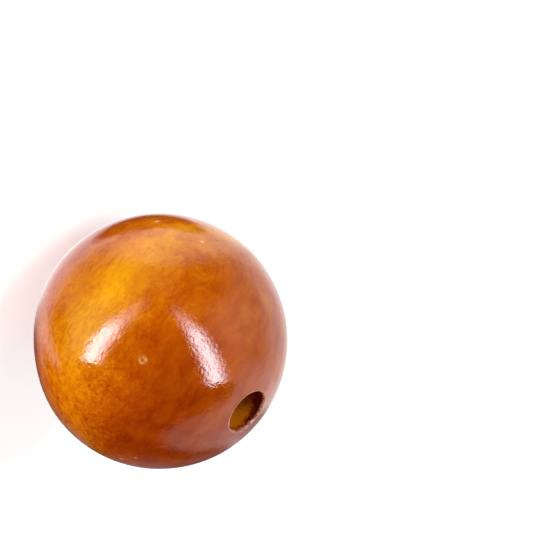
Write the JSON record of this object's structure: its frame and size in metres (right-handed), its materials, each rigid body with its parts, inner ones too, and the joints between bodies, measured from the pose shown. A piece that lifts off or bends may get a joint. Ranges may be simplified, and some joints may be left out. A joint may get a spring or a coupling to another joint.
{
  "type": "wooden ball",
  "caption": "Lacquered wooden ball, turned in one piece, with a round bore drilled through its centre and a small rounded lip at each mouth.",
  "frame": {"origin": "centre of the ball, on the bore's axis and halfway between its mouths", "axes": "+Z along the bore towards its upper mouth; the ball is turned round Z, so X and Y are free"},
  "size_m": [0.05, 0.05, 0.049],
  "materials": {
    "lacquered_wood": "amber to red-brown stained wood under clear gloss lacquer"
  },
  "bodies": {
    "root": {"ball": "lacquered_wood"}
  },
  "joints": []
}
